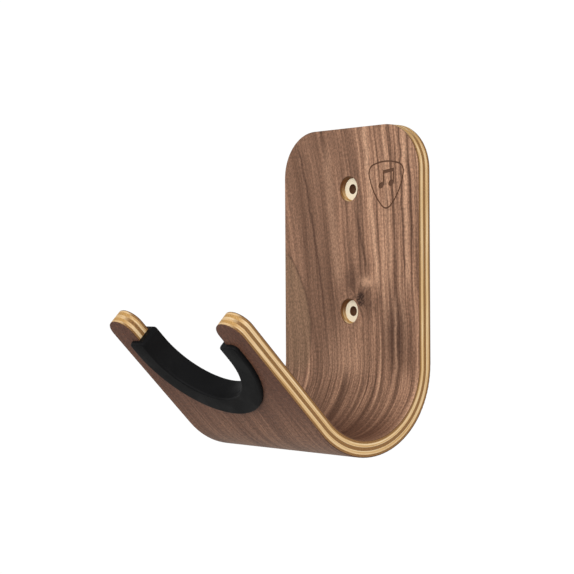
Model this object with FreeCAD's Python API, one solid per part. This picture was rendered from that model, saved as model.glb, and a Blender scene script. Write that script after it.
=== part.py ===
import FreeCAD, Part
import math
import os
from FreeCAD import Placement, Rotation, Vector

# Wall guitar hanger: a strip of seven-layer plywood, bent into a J. The plate stands
# flat on the wall, the bend turns forward at its foot, and the arm rises away from the
# wall to a notch that holds the guitar's neck. A rubber channel lines the notch.
#
# Row frame, in millimetres: X to the right as seen from the room, Y into the wall, Z up.
# The wall face is y = 0, and the origin is midway between the two screw holes.
# Depth is measured from the back (wall side, outer side of the bend) into the plywood.

# The strip
WIDTH = 85.0
PLATE_TOP = 53.9
BEND_CENTRE_Z = -49.0
BEND_RADIUS = 37.15
ARM_RISE = 44.6
ARM_LENGTH = 64.2
TOP_CORNER_RADIUS = 20.3
ARRIS_RADIUS = 0.28

# The layers, from the wall side to the room side
LAYERS = (
    ("back_face_veneer", 0.42),
    ("core_ply_5_cross", 0.89),
    ("core_ply_4_long", 1.50),
    ("core_ply_3_cross", 1.50),
    ("core_ply_2_long", 1.50),
    ("core_ply_1_cross", 0.89),
    ("front_face_veneer", 0.42),
)
THICKNESS = sum(thickness for name, thickness in LAYERS)

# The neck notch and the two prongs beside it
NOTCH_HALF_WIDTH = 28.5
NOTCH_CENTRE = 45.9
PRONG_OUTER_RADIUS = 7.2
PRONG_INNER_RADIUS = 6.6

# The rubber channel
OPENING_RADIUS = 25.0
FLANGE_RADIUS = 34.7
FLANGE_THICKNESS = 1.8
PAD_LEG_END = NOTCH_CENTRE + 7.1
PAD_EDGE_RADIUS = 1.0
PAD_CORNER_RADIUS = 2.8
PAD_TIP_RADIUS = 1.5

# The screw holes
HOLE_SPACING = 54.0
HOLE_RADIUS = 2.15
HEAD_MOUTH_RADIUS = 5.65
HEAD_FLOOR_RADIUS = 4.85
HEAD_DEPTH = 2.6

# The engraved mark: a plectrum outline round a pair of notes
MARK_X = 23.4
MARK_Z = 29.2
MARK_DEPTH = 0.25
MARK_LINE = 0.7
PLECTRUM_REACH = 7.8
PLECTRUM_CORNER_RADIUS = 3.7
PLECTRUM_SIDE_RADIUS = 26.0
NOTE_GAP = 6.0
NOTE_STEM = 6.4
NOTE_HEAD_LONG = 1.75
NOTE_HEAD_SHORT = 1.25
NOTE_HEAD_TILT = 25.0
NOTE_BEAM = 1.5
NOTE_BASE_Z = -1.6
NOTE_LEAN = 0.8
STEM_SHARE = 0.85

# How far cutters reach past what they cut, and how close two places count as one
MARGIN = 5.0
OUTLINE_ROOM = 1.0
SAME_DEPTH = 1e-4
SAME_PLANE = 1e-6

rise = math.radians(ARM_RISE)
bend_centre = Vector(0, -BEND_RADIUS, BEND_CENTRE_Z)
arm_direction = Vector(0, -math.cos(rise), math.sin(rise))
arm_outward = Vector(0, -math.sin(rise), -math.cos(rise))
arm_root = bend_centre + arm_outward * BEND_RADIUS

# The arm's own frame: X across, Y along the arm from the bend, Z out of its underside
arm_placement = Placement(arm_root, Rotation(Vector(1, 0, 0), 180 - ARM_RISE))


def line(start, end):
    return Part.LineSegment(start, end).toShape()


def arc(start, middle, end):
    return Part.Arc(start, middle, end).toShape()


def bent_line(depth):
    """The strip's centre line in the plane x = 0 at a depth below its back face."""
    radius = BEND_RADIUS - depth
    top = Vector(0, -depth, PLATE_TOP)
    plate_foot = Vector(0, -depth, BEND_CENTRE_Z)
    half_turn = (math.pi / 2 + rise) / 2
    middle = bend_centre + Vector(0, math.cos(half_turn), -math.sin(half_turn)) * radius
    arm_start = bend_centre + arm_outward * radius
    arm_end = arm_start + arm_direction * (ARM_LENGTH + MARGIN)
    edges = [line(top, plate_foot), arc(plate_foot, middle, arm_start), line(arm_start, arm_end)]
    return edges, top, arm_end


def layer_band(near, far):
    """One layer of the strip at full width, with square ends."""
    near_edges, near_top, near_end = bent_line(near)
    far_edges, far_top, far_end = bent_line(far)
    closing = [line(near_end, far_end), line(far_top, near_top)]
    wire = Part.Wire(Part.__sortEdges__(near_edges + far_edges + closing))
    band = Part.Face(wire).extrude(Vector(WIDTH, 0, 0))
    band.translate(Vector(-WIDTH / 2, 0, 0))
    return band


def box(low, high):
    size = high - low
    return Part.makeBox(size.x, size.y, size.z, low)


def corner_waste(side):
    """What is cut away to round one top corner of the plate."""
    centre_x = side * (WIDTH / 2 - TOP_CORNER_RADIUS)
    centre_z = PLATE_TOP - TOP_CORNER_RADIUS
    outer_x = side * (WIDTH / 2 + MARGIN)
    low = Vector(min(centre_x, outer_x), -THICKNESS - MARGIN, centre_z)
    high = Vector(max(centre_x, outer_x), MARGIN, PLATE_TOP + MARGIN)
    depth = THICKNESS + 2 * MARGIN
    base = Vector(centre_x, -THICKNESS - MARGIN, centre_z)
    return box(low, high).cut(Part.makeCylinder(TOP_CORNER_RADIUS, depth, base, Vector(0, 1, 0)))


def prong_edges(side):
    """One prong's outline in the arm's frame, from the notch round the tip to the flank."""
    notch = side * NOTCH_HALF_WIDTH
    flank = side * WIDTH / 2
    inner_x = notch + side * PRONG_INNER_RADIUS
    outer_x = flank - side * PRONG_OUTER_RADIUS
    inner_y = ARM_LENGTH - PRONG_INNER_RADIUS
    outer_y = ARM_LENGTH - PRONG_OUTER_RADIUS
    diagonal = math.sqrt(0.5)
    inner_middle = Vector(
        inner_x - side * PRONG_INNER_RADIUS * diagonal,
        inner_y + PRONG_INNER_RADIUS * diagonal,
        0,
    )
    outer_middle = Vector(
        outer_x + side * PRONG_OUTER_RADIUS * diagonal,
        outer_y + PRONG_OUTER_RADIUS * diagonal,
        0,
    )
    return [
        line(Vector(notch, NOTCH_CENTRE, 0), Vector(notch, inner_y, 0)),
        arc(Vector(notch, inner_y, 0), inner_middle, Vector(inner_x, ARM_LENGTH, 0)),
        line(Vector(inner_x, ARM_LENGTH, 0), Vector(outer_x, ARM_LENGTH, 0)),
        arc(Vector(outer_x, ARM_LENGTH, 0), outer_middle, Vector(flank, outer_y, 0)),
        line(Vector(flank, outer_y, 0), Vector(flank, 0, 0)),
    ]


def arm_waste():
    """What is cut away round the prongs and out of the notch."""
    notch_floor = arc(
        Vector(-NOTCH_HALF_WIDTH, NOTCH_CENTRE, 0),
        Vector(0, NOTCH_CENTRE - NOTCH_HALF_WIDTH, 0),
        Vector(NOTCH_HALF_WIDTH, NOTCH_CENTRE, 0),
    )
    root = line(Vector(-WIDTH / 2, 0, 0), Vector(WIDTH / 2, 0, 0))
    edges = prong_edges(-1) + prong_edges(1) + [notch_floor, root]
    kept = Part.Face(Part.Wire(Part.__sortEdges__(edges)))
    height = THICKNESS + 2 * MARGIN
    kept_block = kept.extrude(Vector(0, 0, height))
    kept_block.translate(Vector(0, 0, -THICKNESS - MARGIN))
    low = Vector(-WIDTH / 2 - MARGIN, 0, -THICKNESS - MARGIN)
    high = Vector(WIDTH / 2 + MARGIN, ARM_LENGTH + 3 * MARGIN, MARGIN)
    waste = box(low, high).cut(kept_block)
    waste.Placement = arm_placement
    return waste


def screw_hole(z):
    """A clearance hole with a slightly tapered seat for the screw's head."""
    toward_room = Vector(0, -1, 0)
    shank = Part.makeCylinder(
        HOLE_RADIUS, THICKNESS + 2 * MARGIN, Vector(0, MARGIN, z), toward_room
    )
    floor = Vector(0, -(THICKNESS - HEAD_DEPTH), z)
    taper = (HEAD_MOUTH_RADIUS - HEAD_FLOOR_RADIUS) / HEAD_DEPTH
    reach = HEAD_DEPTH + MARGIN
    top_radius = HEAD_FLOOR_RADIUS + taper * reach
    seat = Part.makeCone(HEAD_FLOOR_RADIUS, top_radius, reach, floor, toward_room)
    return shank.fuse(seat)


def flat_to_plate(face):
    """Stand a shape drawn in X and Y up on the plate's front, as a cutter of the mark's depth."""
    cutter = face.extrude(Vector(0, 0, MARGIN))
    cutter.rotate(Vector(0, 0, 0), Vector(1, 0, 0), 90)
    cutter.translate(Vector(MARK_X, -(THICKNESS - MARK_DEPTH), MARK_Z))
    return cutter


def plectrum_face(grow):
    """A rounded triangle, point down, whose outline is moved out by grow."""
    corner_radius = PLECTRUM_CORNER_RADIUS + grow
    side_radius = PLECTRUM_SIDE_RADIUS + grow
    half_edge = PLECTRUM_REACH * math.sin(math.radians(60))
    centre_gap = PLECTRUM_SIDE_RADIUS - PLECTRUM_CORNER_RADIUS
    side_centre_reach = math.sqrt(centre_gap**2 - half_edge**2) - PLECTRUM_REACH / 2
    edges = []
    for corner in range(3):
        here = math.radians(-90 + 120 * corner)
        there = here + math.radians(120)
        between = (here + there) / 2
        corner_here = polar(PLECTRUM_REACH, here)
        corner_there = polar(PLECTRUM_REACH, there)
        side_centre = polar(-side_centre_reach, between)
        side_start = side_centre + (corner_here - side_centre).normalize() * side_radius
        side_end = side_centre + (corner_there - side_centre).normalize() * side_radius
        edges.append(arc(side_start, side_centre + polar(side_radius, between), side_end))
        next_centre = polar(-side_centre_reach, there + math.radians(60))
        next_start = next_centre + (corner_there - next_centre).normalize() * side_radius
        edges.append(arc(side_end, corner_there + polar(corner_radius, there), next_start))
    return Part.Face(Part.Wire(Part.__sortEdges__(edges)))


def polar(reach, angle):
    return Vector(reach * math.cos(angle), reach * math.sin(angle), 0)


def rectangle_face(low_x, high_x, low_y, high_y, lean=0.0):
    """A rectangle whose right end is lean higher than its left end."""
    points = [
        Vector(low_x, low_y, 0),
        Vector(high_x, low_y + lean, 0),
        Vector(high_x, high_y + lean, 0),
        Vector(low_x, high_y, 0),
    ]
    return Part.Face(Part.makePolygon(points + points[:1]))


def notes_face():
    """Two notes joined by a beam that rises to the right."""
    pieces = []
    for side, lift in ((-1, 0.0), (1, NOTE_LEAN)):
        stem_x = side * NOTE_GAP / 2 + NOTE_HEAD_LONG * STEM_SHARE
        head_centre = Vector(side * NOTE_GAP / 2, NOTE_BASE_Z + lift, 0)
        oval = Part.Ellipse(Vector(0, 0, 0), NOTE_HEAD_LONG, NOTE_HEAD_SHORT).toShape()
        head = Part.Face(Part.Wire([oval]))
        head.rotate(Vector(0, 0, 0), Vector(0, 0, 1), NOTE_HEAD_TILT)
        head.translate(head_centre)
        stem = rectangle_face(
            stem_x - MARK_LINE / 2,
            stem_x + MARK_LINE / 2,
            head_centre.y,
            head_centre.y + NOTE_STEM,
        )
        pieces += [head, stem]
    left = -NOTE_GAP / 2 + NOTE_HEAD_LONG * STEM_SHARE - MARK_LINE / 2
    right = left + NOTE_GAP + MARK_LINE
    top = NOTE_BASE_Z + NOTE_STEM
    pieces.append(rectangle_face(left, right, top - NOTE_BEAM, top, NOTE_LEAN))
    return pieces


def engraving():
    ring = plectrum_face(MARK_LINE / 2).cut(plectrum_face(-MARK_LINE / 2))
    cutters = [flat_to_plate(face) for face in ring.Faces + notes_face()]
    return cutters[0].multiFuse(cutters[1:])


def round_outline(veneer, depth):
    """Round the veneer's outer arris, the chain of edges that lies on its exposed face."""
    chain = [edge for edge in veneer.Edges if lies_at_depth(edge, depth)]
    return veneer.makeFillet(ARRIS_RADIUS, chain)


def lies_at_depth(edge, depth):
    """True for an outline edge on the strip's surface at that depth, but not at a hole."""
    low, high = edge.ParameterRange
    for step in range(1, 4):
        point = edge.valueAt(low + (high - low) * step / 4)
        if abs(depth_of(point) - depth) > SAME_DEPTH:
            return False
        if point.z > BEND_CENTRE_Z and on_plate(point) and inside_outline(point):
            return False
        if across_strip(edge):
            return False
    return True


def on_plate(point):
    return point.y > -THICKNESS - SAME_DEPTH


def inside_outline(point):
    """True for a plate point that is well inside its rounded outline."""
    if abs(point.x) > WIDTH / 2 - OUTLINE_ROOM or point.z > PLATE_TOP - OUTLINE_ROOM:
        return False
    corner_x = abs(point.x) - (WIDTH / 2 - TOP_CORNER_RADIUS)
    corner_z = point.z - (PLATE_TOP - TOP_CORNER_RADIUS)
    if corner_x <= 0 or corner_z <= 0:
        return True
    return math.hypot(corner_x, corner_z) < TOP_CORNER_RADIUS - OUTLINE_ROOM


def across_strip(edge):
    """True for a seam edge that runs straight across where the bend starts or ends."""
    first, last = edge.Vertexes[0].Point, edge.Vertexes[-1].Point
    return abs(abs(first.x - last.x) - WIDTH) < SAME_DEPTH and last.z < 0


def depth_of(point):
    """Depth of a point below the strip's back face."""
    if point.z > BEND_CENTRE_Z and on_plate(point):
        return -point.y
    local = arm_placement.inverse().multVec(point)
    if local.y > 0:
        return -local.z
    return BEND_RADIUS - math.hypot(point.y - bend_centre.y, point.z - bend_centre.z)


def layers():
    """Every layer of the plywood as its own solid, cut to the outline."""
    waste = arm_waste().multiFuse([corner_waste(-1), corner_waste(1)])
    holes = [screw_hole(-HOLE_SPACING / 2), screw_hole(HOLE_SPACING / 2)]
    shapes = {}
    depth = 0.0
    for name, thickness in LAYERS:
        band = layer_band(depth, depth + thickness)
        shapes[name] = band.cut(waste).cut(holes[0]).cut(holes[1])
        depth += thickness
    shapes["back_face_veneer"] = round_outline(shapes["back_face_veneer"], 0.0)
    front = round_outline(shapes["front_face_veneer"], THICKNESS)
    shapes["front_face_veneer"] = front.cut(engraving())
    return shapes


def channel_face(radius, leg_end, corner_radius):
    """A U of the given half-width, round the notch's centre, in the arm's frame."""
    turn = leg_end - corner_radius
    diagonal = corner_radius * (1 - math.sqrt(0.5))
    edges = [
        arc(
            Vector(-radius, NOTCH_CENTRE, 0),
            Vector(0, NOTCH_CENTRE - radius, 0),
            Vector(radius, NOTCH_CENTRE, 0),
        ),
        line(Vector(radius, NOTCH_CENTRE, 0), Vector(radius, turn, 0)),
        line(Vector(-radius, NOTCH_CENTRE, 0), Vector(-radius, turn, 0)),
    ]
    if corner_radius == 0:
        edges.append(line(Vector(-radius, turn, 0), Vector(radius, turn, 0)))
    else:
        inner = radius - corner_radius
        for side in (-1, 1):
            start = Vector(side * radius, turn, 0)
            middle = Vector(side * (radius - diagonal), leg_end - diagonal, 0)
            edges.append(arc(start, middle, Vector(side * inner, leg_end, 0)))
        edges.append(line(Vector(-inner, leg_end, 0), Vector(inner, leg_end, 0)))
    return Part.Face(Part.Wire(Part.__sortEdges__(edges)))


def slab(face, low, high):
    solid = face.extrude(Vector(0, 0, high - low))
    solid.translate(Vector(0, 0, low))
    return solid


def cradle_pad():
    """The rubber channel: a web against the notch's edge and a flange on each face."""
    low = -THICKNESS - FLANGE_THICKNESS
    high = FLANGE_THICKNESS
    body = slab(channel_face(FLANGE_RADIUS, PAD_LEG_END, PAD_CORNER_RADIUS), low, high)
    opening = channel_face(OPENING_RADIUS, PAD_LEG_END + MARGIN, 0)
    body = body.cut(slab(opening, low - MARGIN, high + MARGIN))
    tips = [edge for edge in body.Edges if on_leg_tip(edge)]
    body = body.makeFillet(PAD_TIP_RADIUS, tips)
    rims = [edge for edge in body.Edges if on_pad_rim(edge, low, high)]
    body = body.makeFillet(PAD_EDGE_RADIUS, rims)
    plywood_low = Vector(-WIDTH, -WIDTH, -THICKNESS)
    plywood = box(plywood_low, Vector(WIDTH, WIDTH, 0))
    notch = channel_face(NOTCH_HALF_WIDTH, PAD_LEG_END + MARGIN, 0)
    plywood = plywood.cut(slab(notch, -THICKNESS, 0))
    body = body.cut(plywood)
    body.Placement = arm_placement
    return body


def on_leg_tip(edge):
    """True for the corner edge where a leg's end meets the opening."""
    middle = edge.BoundBox.Center
    beside_opening = abs(abs(middle.x) - OPENING_RADIUS) < SAME_PLANE
    return beside_opening and abs(middle.y - PAD_LEG_END) < SAME_PLANE


def on_pad_rim(edge, low, high):
    """True for an edge that lies wholly on one of the pad's two outer faces."""
    start, end = edge.BoundBox.ZMin, edge.BoundBox.ZMax
    on_face = min(abs(start - low), abs(start - high)) < SAME_PLANE
    return end - start < SAME_PLANE and on_face


def single_solid(shape):
    solids = shape.Solids
    if len(solids) != 1 or not solids[0].isValid():
        raise ValueError("expected one valid solid, found %d" % len(solids))
    return solids[0]


def main():
    os.makedirs("parts", exist_ok=True)
    shapes = layers()
    shapes["cradle_pad"] = cradle_pad()
    for name, shape in shapes.items():
        solid = single_solid(shape)
        solid.exportStep("parts/%s.step" % name)
        print("%-20s %9.1f mm3" % (name, solid.Volume))


main()
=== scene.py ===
import math

import bmesh
import bpy
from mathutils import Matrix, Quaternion, Vector


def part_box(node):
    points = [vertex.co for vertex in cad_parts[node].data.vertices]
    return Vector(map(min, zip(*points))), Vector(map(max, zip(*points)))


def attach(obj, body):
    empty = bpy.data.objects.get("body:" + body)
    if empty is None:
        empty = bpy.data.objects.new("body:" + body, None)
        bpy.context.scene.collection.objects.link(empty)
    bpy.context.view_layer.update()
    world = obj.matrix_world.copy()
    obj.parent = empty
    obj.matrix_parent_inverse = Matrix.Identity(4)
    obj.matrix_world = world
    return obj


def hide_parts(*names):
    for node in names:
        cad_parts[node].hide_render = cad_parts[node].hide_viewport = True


# Looks of the wall guitar hanger, in the row frame: X to the right as seen from the room, Y into
# the wall, Z up. The object's dimensions and the materials' patterns are in millimetres, and MM
# turns them into the metres of the geometry.

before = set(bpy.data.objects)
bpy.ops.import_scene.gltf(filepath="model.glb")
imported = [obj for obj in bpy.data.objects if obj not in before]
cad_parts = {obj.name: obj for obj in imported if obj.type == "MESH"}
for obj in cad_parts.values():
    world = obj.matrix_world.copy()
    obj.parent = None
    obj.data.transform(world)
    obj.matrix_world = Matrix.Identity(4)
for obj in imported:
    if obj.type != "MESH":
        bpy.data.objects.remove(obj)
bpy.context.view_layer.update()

MM = 0.001

# The bent strip, as the CAD model has it, in millimetres
PLATE_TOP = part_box("front_face_veneer")[1].z / MM
BEND_CENTRE_Z = -49.0
BEND_RADIUS = 37.15
ARM_RISE = math.radians(44.6)
THICKNESS = 7.12
BEND_ANGLE = math.pi / 2 + ARM_RISE
PLATE_LENGTH = PLATE_TOP - BEND_CENTRE_Z
BEND_LENGTH = BEND_RADIUS * BEND_ANGLE

# The rubber channel, in the arm's frame, in millimetres
NOTCH_CENTRE = 45.9
NOTCH_HALF_WIDTH = 28.5
OPENING_RADIUS = 25.0
FLANGE_RADIUS = 34.7
FLANGE_THICKNESS = 1.8
LEG_LENGTH = 7.1
EDGE_RADIUS = 1.0
CORNER_RADIUS = 2.8
TIP_RADIUS = 1.5
SLOT_CLEARANCE = 0.03
# A lip's rounding stops this far short of the slot
LIP_MARGIN = 0.02
CORNER_STEPS = 6
ARC_STEPS = 96
# How far from a leg's end its sections stand
END_GAPS = (0.0, 0.04, 0.12, 0.25, 0.45, 0.7, 1.0, 1.4, 1.9, 2.4, 2.9, 4.0, 5.5)
SHARP_ANGLE = math.radians(50)

# The two screw holes, and how far along the strip their painted shade may reach
HOLE_Z = 27.0
HOLE_RADIUS = 2.15
SEAT_RADIUS = 5.65
HOLES_END = 92.0

# The camera stands level with the object, to its right. Its lens and sensor are in millimetres.
CAMERA_AIM = Vector((-0.99, -42.84, -16.12)) * MM
CAMERA_AZIMUTH = math.radians(48.46)
CAMERA_ELEVATION = math.radians(0.11)
CAMERA_ROLL = math.radians(-0.31)
CAMERA_DISTANCE = 681.7 * MM
CAMERA_LENS = 100.04
CAMERA_SENSOR = 36.0
CAMERA_CLIP = 10.0 * MM

# The world's brightness, as (direction, grey). A direction is 0 straight down and 1 straight up.
WORLD_STOPS = ((0.30, 0.22), (0.40, 1.0), (0.60, 1.0), (0.74, 0.42))
WORLD_STRENGTH = 1.03

# The lamps, as (name, watts, (width, height), place), in metres
LAMPS = (
    ("key", 10.0, (1.0, 1.0), (0.55, -1.35, 0.50)),
    ("side", 2.5, (0.6, 0.9), (1.3, -0.25, 0.15)),
)
LAMP_AIM = (0, -0.05, -0.01)

# The floor, in metres
FLOOR_RADIUS = 2.0
FLOOR_Z = -1.2
FLOOR_STEPS = 96


def linear(red, green, blue):
    """A colour given on the usual 0 to 255 screen scale, as the linear colour shaders take."""
    levels = [value / 255 for value in (red, green, blue)]
    return [v / 12.92 if v <= 0.04045 else ((v + 0.055) / 1.055) ** 2.4 for v in levels] + [1.0]


class Graph:
    """One material's nodes, built by calls that return sockets. Values may be sockets or numbers."""

    def __init__(self, name):
        self.material = bpy.data.materials.new(name)
        self.material.use_nodes = True
        self.tree = self.material.node_tree
        self.tree.nodes.clear()

    def node(self, kind, **settings):
        made = self.tree.nodes.new("ShaderNode" + kind)
        for key, value in settings.items():
            setattr(made, key, value)
        return made

    def feed(self, socket, value):
        if isinstance(value, bpy.types.NodeSocket):
            self.tree.links.new(value, socket)
        else:
            socket.default_value = value

    def math(self, operation, *values):
        made = self.node("Math", operation=operation)
        for socket, value in zip(made.inputs, values):
            self.feed(socket, value)
        return made.outputs[0]

    def add(self, *values):
        total = values[0]
        for value in values[1:]:
            total = self.math("ADD", total, value)
        return total

    def sub(self, a, b):
        return self.math("SUBTRACT", a, b)

    def mul(self, a, b):
        return self.math("MULTIPLY", a, b)

    def fade(self, value, low, high, start=0.0, end=1.0):
        """A smooth step from start to end as value goes from low to high."""
        made = self.node("MapRange", interpolation_type="SMOOTHSTEP")
        for socket, setting in zip(made.inputs, (value, low, high, start, end)):
            self.feed(socket, setting)
        return made.outputs[0]

    def vector(self, *parts):
        made = self.node("CombineXYZ")
        for socket, value in zip(made.inputs, parts):
            self.feed(socket, value)
        return made.outputs[0]

    def noise(self, place, scale=1.0, detail=2.0, roughness=0.5):
        made = self.node("TexNoise", noise_dimensions="3D")
        self.feed(made.inputs["Vector"], place)
        self.feed(made.inputs["Scale"], scale)
        self.feed(made.inputs["Detail"], detail)
        self.feed(made.inputs["Roughness"], roughness)
        return made.outputs["Fac"]

    def ramp(self, value, *stops):
        made = self.node("ValToRGB")
        elements = made.color_ramp.elements
        while len(elements) < len(stops):
            elements.new(0.5)
        for element, (position, colour) in zip(elements, stops):
            element.position = position
            element.color = colour
        self.feed(made.inputs[0], value)
        return made.outputs["Color"]

    def mix(self, share, a, b, blend="MIX"):
        made = self.node("Mix", data_type="RGBA", blend_type=blend)
        self.feed(made.inputs["Factor"], share)
        self.feed(made.inputs["A"], a)
        self.feed(made.inputs["B"], b)
        return made.outputs["Result"]

    def gain(self, colour, factor):
        """The colour made lighter or darker by a factor."""
        return self.mix(1.0, colour, self.vector(factor, factor, factor), "MULTIPLY")

    def place(self):
        """The point's x, y and z in the row frame, in millimetres."""
        split = self.node("SeparateXYZ")
        self.feed(split.inputs[0], self.node("TexCoord").outputs["Object"])
        return [self.mul(axis, 1 / MM) for axis in split.outputs]

    def normal(self):
        split = self.node("SeparateXYZ")
        self.feed(split.inputs[0], self.node("NewGeometry").outputs["Normal"])
        return list(split.outputs)

    def finish(self, colour, roughness, height=None, relief=0.0, **constants):
        """Ends the material in one Principled shader. A height of 1 stands relief millimetres proud."""
        shader = self.node("BsdfPrincipled")
        self.feed(shader.inputs["Base Color"], colour)
        self.feed(shader.inputs["Roughness"], roughness)
        for name, value in constants.items():
            shader.inputs[name.replace("_", " ")].default_value = value
        if height is not None:
            bump = self.node("Bump")
            bump.inputs["Strength"].default_value = 1.0
            bump.inputs["Distance"].default_value = relief * MM
            self.feed(bump.inputs["Height"], height)
            self.feed(shader.inputs["Normal"], bump.outputs[0])
        output = self.node("OutputMaterial")
        self.tree.links.new(shader.outputs[0], output.inputs["Surface"])
        return self.material


def unroll(g):
    """The bent strip laid flat: across, along from the plate's top, depth from the back face, z,
    and how far the surface faces across the strip and along it."""
    x, y, z = g.place()
    from_centre_y = g.add(y, BEND_RADIUS)
    from_centre_z = g.sub(z, BEND_CENTRE_Z)
    half_turn = BEND_ANGLE / 2
    toward = g.sub(
        g.mul(from_centre_y, math.cos(half_turn)), g.mul(from_centre_z, math.sin(half_turn))
    )
    aside = g.add(
        g.mul(from_centre_y, -math.sin(half_turn)), g.mul(from_centre_z, -math.cos(half_turn))
    )
    turn = g.add(g.math("ARCTAN2", aside, toward), half_turn)
    turn = g.math("MINIMUM", g.math("MAXIMUM", turn, 0.0), BEND_ANGLE)
    cosine = g.math("COSINE", turn)
    sine = g.math("SINE", turn)
    out = g.sub(g.mul(from_centre_y, cosine), g.mul(from_centre_z, sine))
    on = g.add(g.mul(from_centre_y, sine), g.mul(from_centre_z, cosine))
    along = g.sub(g.add(g.mul(turn, BEND_RADIUS), PLATE_LENGTH), on)
    normal = g.normal()
    lengthwise = g.add(g.mul(normal[1], sine), g.mul(normal[2], cosine))
    facing = g.math("ABSOLUTE", normal[0]), g.math("ABSOLUTE", lengthwise)
    return x, along, g.sub(BEND_RADIUS, out), z, facing


def grain_line(g, z, at, lean, bow):
    """Where a curved grain line that passes x = at at z = 0 lies at another height."""
    return g.add(at, g.mul(z, lean), g.mul(g.mul(z, z), bow))


def streak(g, x, z, at, lean, bow, width, low, high, soft):
    """How near a point is to a grain line, between two heights. soft is how gently it ends."""
    off = g.math("DIVIDE", g.sub(x, grain_line(g, z, at, lean, bow)), width)
    near = g.math("EXPONENT", g.mul(g.mul(off, off), -1.0))
    inside = g.mul(g.fade(z, low - soft, low + soft), g.fade(z, high + soft, high - soft))
    return g.mul(near, inside)


def patch(g, x, z, at_x, at_z, half_x, half_z):
    """A soft oval patch, 1 at its middle."""
    off_x = g.math("DIVIDE", g.sub(x, at_x), half_x)
    off_z = g.math("DIVIDE", g.sub(z, at_z), half_z)
    reach = g.add(g.mul(off_x, off_x), g.mul(off_z, off_z))
    return g.math("EXPONENT", g.mul(reach, -1.0))


WALNUT_DEEP = linear(84, 57, 43)
WALNUT_DARK = linear(114, 82, 63)
WALNUT_MID = linear(140, 104, 82)
WALNUT_LIGHT = linear(174, 131, 104)
WALNUT_PALE = linear(208, 163, 132)
WALNUT_OLIVE = linear(136, 107, 82)
# The arm's redder wood; inside the bend it is also the colour of painted shade
WALNUT_RED_AND_BEND_SHADE = linear(88, 50, 34)
# The grey of a painted sheen round the outside of the bend
WALNUT_SHEEN_GREY = linear(172, 150, 138)
KNOT = linear(50, 30, 20)
BURNT = linear(78, 48, 32)
SCORCHED = linear(98, 68, 50)

# The front grain leans to the right by FRONT_LEAN at the plate's top on the middle line, and by
# FRONT_FAN less for each millimetre to the right. The lean dies away over DRIFT_LENGTH millimetres.
DRIFT_LENGTH = 90.0
FRONT_LEAN = 0.20
FRONT_FAN = 0.0035
BACK_LEAN = 0.02

# How strongly the streaks show on the back, and how light its broad tone is
BACK_STREAKS = 0.719
BACK_LIGHTNESS = 0.30

# How much the fine mottle varies the colour, and the lacquer's specular level
FRONT_SPECKLE = 0.34
BACK_SPECKLE = 0.42
FRONT_SHEEN = 0.16
BACK_SHEEN = 0.4
PORE_DARKNESS = 0.6

# How far the back veneer goes to grey round the bend (a painted sheen) and to red up the arm, and how far
# the front goes to the painted shade inside the bend
SHEEN_GREY_SHARE = 0.28
ARM_RED = (0.05, 0.85)
BEND_SHADE_SHARE = 0.58

# The front veneer's figure, placed against the photo. A line has its x at z = 0, lean, bow,
# half width, lowest z, highest z, softness of the ends and strength. A patch has the x and z of
# its middle, its half width, half height and strength. OLIVE_EDGE bounds the olive corner.
OLIVE_EDGE = (-41.1, -0.893, -0.01226)
OLIVE_STRENGTH = 0.6
DARK_LINES = (
    (-21.0, -0.204, -0.00108, 0.75, -60.0, 50.0, 6.0, 0.8),
    (*OLIVE_EDGE, 0.8, -42.0, 0.0, 3.0, 0.6),
    (-8.6, -0.17, 0.0, 0.8, 34.0, 60.0, 6.0, 0.6),
    (9.0, -0.26, 0.0, 0.9, -8.0, 16.0, 6.0, 0.7),
    (33.7, -0.045, 0.0, 0.55, -12.0, 60.0, 6.0, 0.85),
    (-1.0, -0.05, 0.0, 3.0, 20.0, 60.0, 6.0, 0.3),
    (24.2, 0.86, 0.0, 0.8, -21.0, -13.0, 2.0, 0.7),
    (34.5, 1.25, 0.0, 0.7, -22.0, -16.0, 2.0, 0.55),
)
DARK_PATCHES = (
    (2.0, -13.0, 5.5, 6.5, 0.6),
    (12.5, -24.0, 4.5, 5.0, 0.55),
    (29.0, -37.0, 8.5, 20.0, 0.95),
)
PALE_LINES = (
    (16.4, -0.118, 0.0, 1.4, -16.0, 60.0, 6.0, 0.85),
    (35.6, -0.03, 0.0, 1.1, -14.0, 60.0, 6.0, 0.65),
    (-8.5, -0.14, 0.0, 2.6, -14.0, 44.0, 6.0, 0.35),
    (24.5, -0.05, 0.0, 1.1, -14.0, 58.0, 6.0, 0.4),
    (28.8, 0.0, 0.0, 0.8, -60.0, -22.0, 6.0, 0.5),
)
PALE_PATCHES = (
    (11.5, -14.0, 4.0, 2.4, 0.75),
    (-2.0, -50.0, 16.0, 15.0, 0.38),
)

# The knot's two ovals, as x and z of the middle, half width and half height: the grain swirls in
# the wider one, and the heart is dark
KNOT_SWIRL = (7.0, -21.5, 7.0, 8.0)
KNOT_HEART = (7.2, -21.6, 2.7, 3.2)


def grain_drift(g, x, along):
    """How far the front veneer's grain has wandered to the right: it leans most at the plate's top."""
    settled = g.sub(1.0, g.math("EXPONENT", g.mul(along, -1 / DRIFT_LENGTH)))
    return g.mul(g.mul(settled, DRIFT_LENGTH), g.sub(FRONT_LEAN, g.mul(x, FRONT_FAN)))


def grain_across(g, x, along, z, seed, front):
    """A point's place across the grain, which drifts, sways and, on the front, swirls at the knot."""
    drift = grain_drift(g, x, along) if front else g.mul(along, BACK_LEAN)
    sway = g.mul(g.sub(g.noise(g.vector(g.mul(x, 0.03), g.mul(along, 0.018), seed)), 0.5), 7.0)
    if front:
        swirl = g.sub(g.noise(g.vector(g.mul(x, 0.11), g.mul(z, 0.11), seed + 4)), 0.5)
        sway = g.add(sway, g.mul(g.mul(patch(g, x, z, *KNOT_SWIRL), swirl), 26.0))
    return g.add(g.sub(x, drift), sway)


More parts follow.
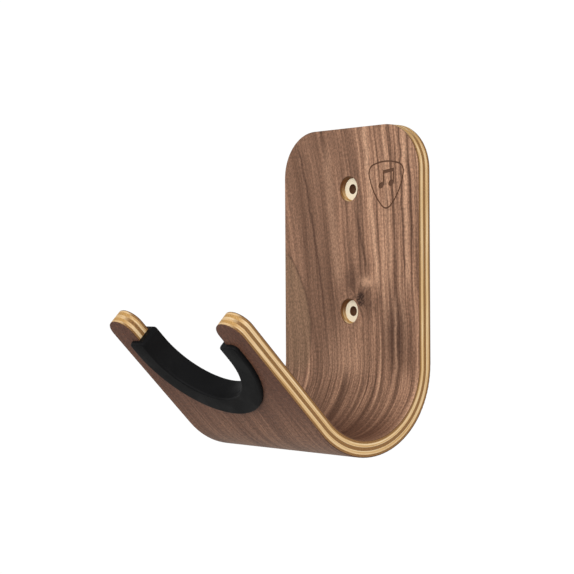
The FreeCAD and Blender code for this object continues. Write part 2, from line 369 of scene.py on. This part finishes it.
def streak_strength(g, right, along):
    """How strongly the front's streaks show: more to the right and at the bend, less up the arm."""
    bend = g.fade(along, PLATE_LENGTH - 24.0, PLATE_LENGTH + 6.0, 0.0, 1.05)
    strength = g.add(0.42, g.mul(g.math("MAXIMUM", right, bend), 1.15))
    return g.mul(strength, g.fade(along, PLATE_LENGTH + 8.0, PLATE_LENGTH + 34.0, 1.0, 0.55))


def walnut_tone(g, x, along, broad, medium, fine, front):
    """How light the wood is, from its broad bands and its streaks, before any figure."""
    right = g.fade(x, -25.0, 38.0) if front else BACK_LIGHTNESS
    strength = streak_strength(g, right, along) if front else BACK_STREAKS
    streaks = g.add(g.mul(g.sub(medium, 0.5), 0.85), g.mul(g.sub(fine, 0.5), 0.50))
    return g.add(0.50, g.mul(g.sub(broad, 0.5), 0.55), g.mul(streaks, strength), g.mul(right, 0.11))


def walnut(name, seed, front):
    """Walnut face veneer: broad tones, drifting streaks, fine fibre and short open pores."""
    g = Graph(name)
    x, along, depth, z, _ = unroll(g)
    grain = grain_across(g, x, along, z, seed, front)

    def bands(across, length, offset, detail):
        place = g.vector(g.mul(grain, 1 / across), g.mul(along, 1 / length), seed + offset)
        return g.noise(place, detail=detail, roughness=0.55)

    broad = bands(across=9.0, length=190.0, offset=0.0, detail=2.0)
    medium = bands(across=2.6 if front else 1.5, length=110.0, offset=10.0, detail=3.0)
    fine = bands(across=0.8, length=42.0, offset=20.0, detail=3.0)
    fibre = bands(across=0.28, length=9.0, offset=30.0, detail=3.0)
    specks = bands(across=0.24, length=4.5, offset=40.0, detail=1.0)

    colour = g.ramp(
        walnut_tone(g, x, along, broad, medium, fine, front),
        (0.22, WALNUT_DEEP), (0.38, WALNUT_DARK), (0.52, WALNUT_MID),
        (0.66, WALNUT_LIGHT), (0.84, WALNUT_PALE),
    )
    colour = plate_figure(g, colour, x, z, along) if front else arm_figure(g, colour, along)

    mottle = g.noise(g.vector(g.mul(x, 1.3), g.mul(along, 0.8), seed + 60.0), detail=3.0, roughness=0.7)
    speckle = FRONT_SPECKLE if front else BACK_SPECKLE
    colour = g.gain(colour, g.fade(fibre, 0.25, 0.75, 0.88, 1.12))
    colour = g.gain(colour, g.fade(mottle, 0.30, 0.70, 1.0 - speckle, 1.0 + speckle))
    pores = g.mul(g.fade(specks, 0.60, 0.70), g.fade(medium, 0.62, 0.40, 0.25, 0.8))
    colour = g.mix(g.mul(pores, PORE_DARKNESS), colour, WALNUT_DEEP)
    colour = singe_edge(g, colour, depth, front)
    height = g.add(g.mul(fibre, 0.35), g.mul(pores, -1.0))
    roughness = g.fade(fine, 0.2, 0.8, 0.62, 0.50)
    sheen = FRONT_SHEEN if front else BACK_SHEEN
    return g.finish(colour, roughness, height, 0.05, Specular_IOR_Level=sheen)


def singe_edge(g, colour, depth, front):
    """The cut has darkened the veneer's edge, below its outer face."""
    if front:
        face = g.fade(depth, THICKNESS - 0.20, THICKNESS - 0.06)
        return g.mix(face, SCORCHED, colour)
    return g.mix(g.fade(depth, 0.20, 0.06), BURNT, colour)


def arm_figure(g, colour, along):
    """The back veneer is greyer round the bend, a painted sheen, and redder up the arm."""
    bend_end = PLATE_LENGTH + BEND_LENGTH
    # Painted sheen: the back veneer goes grey round the bend
    grey_sheen = g.mul(g.fade(along, PLATE_LENGTH, PLATE_LENGTH + 25.0), g.fade(along, bend_end, bend_end - 28.0))
    colour = g.mix(g.mul(grey_sheen, SHEEN_GREY_SHARE), colour, WALNUT_SHEEN_GREY)
    return g.mix(g.fade(along, bend_end - 34.0, bend_end + 36.0, *ARM_RED), colour, WALNUT_RED_AND_BEND_SHADE)


def mark(g, colour, x, z, on_plate, lines, patches, ink):
    """The colour mixed towards the ink along each line and over each patch."""
    shares = [(streak(g, x, z, *line), strength) for *line, strength in lines]
    shares += [(patch(g, x, z, *oval), strength) for *oval, strength in patches]
    for share, strength in shares:
        colour = g.mix(g.mul(g.mul(share, on_plate), strength), colour, ink)
    return colour


def plate_figure(g, colour, x, z, along):
    """The front veneer's figure: an olive corner, strong lines, patches, one small knot, and painted
    shade, darker and redder, inside the bend and up the arm."""
    on_plate = g.fade(along, PLATE_LENGTH + 16.0, PLATE_LENGTH)
    wobble = g.mul(g.sub(g.noise(g.vector(0.0, g.mul(z, 0.09), 3.0)), 0.5), 3.0)
    x = g.add(x, wobble)
    beyond = g.sub(x, grain_line(g, z, *OLIVE_EDGE))
    olive = g.mul(g.fade(beyond, 0.6, -0.6), g.fade(z, 3.0, -4.0))
    colour = g.mix(g.mul(g.mul(olive, on_plate), OLIVE_STRENGTH), colour, WALNUT_OLIVE)
    colour = mark(g, colour, x, z, on_plate, DARK_LINES, DARK_PATCHES, WALNUT_DEEP)
    colour = mark(g, colour, x, z, on_plate, PALE_LINES, PALE_PATCHES, WALNUT_PALE)
    # Painted shade: the front veneer goes darker and redder inside the bend and up the arm
    bend_shade = g.mul(g.fade(along, PLATE_LENGTH + 18.0, PLATE_LENGTH + 46.0), BEND_SHADE_SHARE)
    colour = g.mix(bend_shade, colour, WALNUT_RED_AND_BEND_SHADE)
    rings = g.math("SINE", g.mul(g.noise(g.vector(g.mul(x, 0.35), g.mul(z, 0.35), 9.0)), 34.0))
    heart = g.fade(patch(g, x, z, *KNOT_HEART), 0.15, 0.6)
    return g.mix(g.mul(heart, g.fade(rings, -1.0, 1.0, 0.55, 1.0)), colour, KNOT)


PLY_CREAM = linear(231, 196, 146)
PLY_PALE = linear(247, 223, 184)
PLY_GOLD = linear(200, 153, 86)
PLY_BROWN = linear(140, 101, 62)
PLY_DARK = linear(116, 82, 50)
PLY_FRESH = linear(253, 242, 216)
# Painted shade in the screw holes: the seats' walls towards their tops, and the bores
SEAT_SHADE_BROWN = linear(100, 58, 30)
BORE_SHADE = linear(112, 74, 48)
FRESHNESS = 0.9
# How strongly the painted shade in the screw holes shows
HOLE_SHADE_SHARE = 0.92
PLY_SHEEN = 0.16


def ply(name, seed, crosswise):
    """A core ply. Its cut edge is pale where the cut runs with the grain, and brown across it."""
    g = Graph(name)
    x, along, depth, z, facing = unroll(g)
    end_grain = g.fade(facing[0] if crosswise else facing[1], 0.35, 0.85)
    run, across = (x, along) if crosswise else (along, x)

    def wood(per_run, per_across, per_depth):
        layer = g.add(g.mul(depth, per_depth), seed)
        return g.noise(g.vector(g.mul(run, per_run), g.mul(across, per_across), layer), detail=3.0)

    lines = wood(0.035, 0.5, 2.4)
    fibre = wood(0.25, 2.5, 7.0)
    cells = wood(3.2, 3.2, 5.0)
    with_grain = g.ramp(lines, (0.28, PLY_GOLD), (0.5, PLY_CREAM), (0.72, PLY_PALE))
    with_grain = g.gain(with_grain, g.fade(fibre, 0.3, 0.7, 0.92, 1.06))
    cut_across = g.ramp(cells, (0.28, PLY_DARK), (0.5, PLY_BROWN), (0.74, PLY_GOLD))
    if not crosswise:
        cut_across = g.ramp(cells, (0.25, PLY_BROWN), (0.5, PLY_GOLD), (0.75, PLY_CREAM))
    colour = g.mix(end_grain, with_grain, cut_across)
    face_cut = g.fade(g.add(facing[0], facing[1]), 0.30, 0.05)
    colour = g.mix(g.mul(face_cut, FRESHNESS), colour, PLY_FRESH)
    # Painted shade in the screw holes' bores and seat walls
    colour = hole_painted_shade(g, colour, x, z, along, face_cut)
    height = g.add(g.mul(cells, 0.6), fibre)
    return g.finish(colour, g.fade(cells, 0.2, 0.8, 0.68, 0.56), height, 0.03, Specular_IOR_Level=PLY_SHEEN)


def hole_painted_shade(g, colour, x, z, along, face_cut):
    """Painted shade in the screw holes: the bores are darkened, and so are the screw seats' walls towards
    their tops.
    """
    on_plate = g.fade(along, HOLES_END + 4.0, HOLES_END)
    hole_z = g.mul(g.math("SIGN", z), HOLE_Z)
    off_z = g.sub(z, hole_z)
    from_hole = g.math("SQRT", g.add(g.mul(x, x), g.mul(off_z, off_z)))
    wall = g.mul(g.fade(from_hole, SEAT_RADIUS + 0.3, SEAT_RADIUS), g.sub(1.0, face_cut))
    # Painted shade on the seats' walls, darker towards their tops
    seat_shade = g.mul(g.fade(off_z, -4.5, 2.5, 0.15, 1.0), g.mul(wall, on_plate))
    colour = g.mix(g.mul(seat_shade, HOLE_SHADE_SHARE), colour, SEAT_SHADE_BROWN)
    # Painted shade in the bores
    bore_shade = g.mul(g.fade(from_hole, HOLE_RADIUS + 0.15, HOLE_RADIUS + 0.03), on_plate)
    return g.mix(g.mul(bore_shade, HOLE_SHADE_SHARE), colour, BORE_SHADE)


RUBBER_DARK = linear(10, 10, 11)
RUBBER_PALE = linear(16, 16, 17)
RUBBER_DUST = linear(48, 48, 50)
RUBBER_SHEEN = 0.12


def rubber():
    """Matt black rubber: a very fine moulded grain, faint dust and a little bloom."""
    g = Graph("matt_black_rubber")
    x, y, z = g.place()
    spot = g.vector(x, y, z)
    grain = g.noise(spot, 7.0, 3.0, 0.6)
    dust = g.fade(g.noise(spot, 2.4, 3.0, 0.7), 0.70, 0.80)
    bloom = g.noise(spot, 0.09, 3.0, 0.6)
    colour = g.ramp(bloom, (0.3, RUBBER_DARK), (0.7, RUBBER_PALE))
    colour = g.mix(g.mul(dust, 0.25), colour, RUBBER_DUST)
    roughness = g.fade(bloom, 0.3, 0.7, 0.60, 0.48)
    return g.finish(colour, roughness, grain, 0.02, Specular_IOR_Level=RUBBER_SHEEN)


def corner(centre, radius, first, last):
    """Points round one rounded corner of the channel's section, angles in degrees."""
    points = []
    for step in range(CORNER_STEPS + 1):
        angle = math.radians(first + (last - first) * step / CORNER_STEPS)
        points.append((centre[0] + radius * math.cos(angle), centre[1] + radius * math.sin(angle)))
    return points


def rounding(from_end, radius):
    """How far a corner of this radius pulls the outline in, this far from the end."""
    if from_end >= radius:
        return 0.0
    return radius - math.sqrt(max(0.0, radius**2 - (radius - from_end) ** 2))


def section(from_end):
    """The channel's cut shape, as (distance from the middle line, height out of the underside)."""
    pull = rounding(from_end, EDGE_RADIUS)
    inner = OPENING_RADIUS + rounding(from_end, TIP_RADIUS)
    outer = FLANGE_RADIUS - rounding(from_end, CORNER_RADIUS)
    top = FLANGE_THICKNESS - pull
    foot = -THICKNESS - FLANGE_THICKNESS + pull
    lip = min(EDGE_RADIUS, top - SLOT_CLEARANCE - LIP_MARGIN)
    slot_top = SLOT_CLEARANCE
    slot_foot = -THICKNESS - SLOT_CLEARANCE
    slot_side = NOTCH_HALF_WIDTH - SLOT_CLEARANCE
    middle = (inner + outer) / 2
    points = corner((inner + lip, foot + lip), lip, 270, 180)
    points += corner((inner + lip, top - lip), lip, 180, 90)
    points.append((middle, top))
    points += corner((outer - lip, top - lip), lip, 90, 0)
    points += [(outer, slot_top), (slot_side, slot_top), (slot_side, slot_foot), (outer, slot_foot)]
    points += corner((outer - lip, foot + lip), lip, 0, -90)
    points.append((middle, foot))
    return points


def channel_stations():
    """Where the section stands: (angle round the notch, run along a leg, distance from the leg's end)."""
    leg = [(LEG_LENGTH - gap, gap) for gap in END_GAPS]
    stations = [(math.pi, run, gap) for run, gap in leg]
    for step in range(ARC_STEPS + 1):
        stations.append((math.pi * (1 + step / ARC_STEPS), 0.0, LEG_LENGTH))
    stations += [(2 * math.pi, run, gap) for run, gap in reversed(leg)]
    return stations


def arm_point(across, up, height):
    """A point of the arm's frame, in metres in the row frame. height is out of the underside."""
    rise = Vector((0, -math.cos(ARM_RISE), math.sin(ARM_RISE)))
    outward = Vector((0, -math.sin(ARM_RISE), -math.cos(ARM_RISE)))
    root = Vector((0, -BEND_RADIUS, BEND_CENTRE_Z)) + outward * BEND_RADIUS
    return (root + Vector((across, 0, 0)) + rise * up + outward * height) * MM


def channel():
    """The rubber channel as one closed mesh, swept round the notch and down both legs."""
    mesh = bmesh.new()
    rings = []
    for angle, run, gap in channel_stations():
        ring = []
        for reach, height in section(gap):
            up = NOTCH_CENTRE + reach * math.sin(angle) + run
            ring.append(mesh.verts.new(arm_point(reach * math.cos(angle), up, height)))
        rings.append(ring)
    for here, there in zip(rings, rings[1:]):
        for i in range(len(here)):
            j = (i + 1) % len(here)
            mesh.faces.new((here[i], here[j], there[j], there[i]))
    mesh.faces.new(rings[0])
    mesh.faces.new(list(reversed(rings[-1])))
    bmesh.ops.recalc_face_normals(mesh, faces=mesh.faces)
    data = bpy.data.meshes.new("cradle_channel")
    mesh.to_mesh(data)
    mesh.free()
    data.shade_smooth()
    piece = bpy.data.objects.new("cradle_channel", data)
    bpy.context.collection.objects.link(piece)
    data.set_sharp_from_angle(angle=SHARP_ANGLE)
    data.materials.append(rubber())
    return piece


def dress(node, material):
    """Gives a CAD node its finished material."""
    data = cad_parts[node].data
    data.materials.clear()
    data.materials.append(material)


def light(name, energy, size, place):
    """A soft rectangular lamp, turned to the object."""
    data = bpy.data.lights.new(name, "AREA")
    data.energy = energy
    data.shape = "RECTANGLE"
    data.size, data.size_y = size
    lamp = bpy.data.objects.new(name, data)
    lamp.location = place
    lamp.rotation_mode = "QUATERNION"
    lamp.rotation_quaternion = (Vector(LAMP_AIM) - Vector(place)).to_track_quat("-Z", "Y")
    bpy.context.collection.objects.link(lamp)


def studio():
    """Surroundings that are white in level directions, grey above and below, and two soft lamps."""
    world = bpy.data.worlds.new("studio")
    bpy.context.scene.world = world
    world.use_nodes = True
    tree = world.node_tree
    tree.nodes.clear()
    direction = tree.nodes.new("ShaderNodeTexCoord")
    split = tree.nodes.new("ShaderNodeSeparateXYZ")
    ramp = tree.nodes.new("ShaderNodeValToRGB")
    background = tree.nodes.new("ShaderNodeBackground")
    output = tree.nodes.new("ShaderNodeOutputWorld")
    shift = tree.nodes.new("ShaderNodeMath")
    shift.operation = "MULTIPLY_ADD"
    shift.inputs[1].default_value = 0.5
    shift.inputs[2].default_value = 0.5
    tree.links.new(direction.outputs["Generated"], split.inputs[0])
    tree.links.new(split.outputs["Z"], shift.inputs[0])
    tree.links.new(shift.outputs[0], ramp.inputs[0])
    tree.links.new(ramp.outputs["Color"], background.inputs["Color"])
    tree.links.new(background.outputs[0], output.inputs["Surface"])
    stops = ramp.color_ramp.elements
    while len(stops) < len(WORLD_STOPS):
        stops.new(0.5)
    for stop, (position, grey) in zip(stops, WORLD_STOPS):
        stop.position = position
        stop.color = (grey, grey, grey, 1)
    background.inputs["Strength"].default_value = WORLD_STRENGTH
    for name, watts, size, place in LAMPS:
        light(name, watts, size, place)


def floor():
    """A plain pale floor, far enough below the hanger to stay out of the main view."""
    mesh = bmesh.new()
    bmesh.ops.create_circle(mesh, cap_ends=True, segments=FLOOR_STEPS, radius=FLOOR_RADIUS)
    data = bpy.data.meshes.new("floor")
    mesh.to_mesh(data)
    mesh.free()
    piece = bpy.data.objects.new("floor", data)
    piece.location = (0, 0, FLOOR_Z)
    bpy.context.collection.objects.link(piece)
    g = Graph("pale_floor")
    x, y, z = g.place()
    mottle = g.noise(g.vector(x, y, z), 0.01, 2.0)
    colour = g.ramp(mottle, (0.3, linear(226, 225, 222)), (0.7, linear(232, 231, 229)))
    data.materials.append(g.finish(colour, 0.8))


def camera():
    """The camera where the photographer's stood, as the fit to the photo found it."""
    data = bpy.data.cameras.new("camera")
    data.lens = CAMERA_LENS
    data.sensor_width = CAMERA_SENSOR
    data.clip_start = CAMERA_CLIP
    back = Vector((
        math.sin(CAMERA_AZIMUTH) * math.cos(CAMERA_ELEVATION),
        -math.cos(CAMERA_AZIMUTH) * math.cos(CAMERA_ELEVATION),
        math.sin(CAMERA_ELEVATION),
    ))
    view = bpy.data.objects.new("camera", data)
    view.location = CAMERA_AIM + back * CAMERA_DISTANCE
    view.rotation_mode = "QUATERNION"
    roll = Quaternion((0, 0, 1), CAMERA_ROLL)
    view.rotation_quaternion = (-back).to_track_quat("-Z", "Y") @ roll
    bpy.context.collection.objects.link(view)
    bpy.context.scene.camera = view


dress("front_face_veneer", walnut("walnut_front", 2.0, True))
dress("back_face_veneer", walnut("walnut_back", 51.0, False))
dress("core_ply_1_cross", ply("ply_1_cross", 11.0, True))
dress("core_ply_2_long", ply("ply_2_long", 22.0, False))
dress("core_ply_3_cross", ply("ply_3_cross", 33.0, True))
dress("core_ply_4_long", ply("ply_4_long", 44.0, False))
dress("core_ply_5_cross", ply("ply_5_cross", 55.0, True))

pad = channel()
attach(pad, "root")
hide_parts("cradle_pad")

studio()
floor()
camera()
bpy.context.scene.view_settings.view_transform = "Standard"
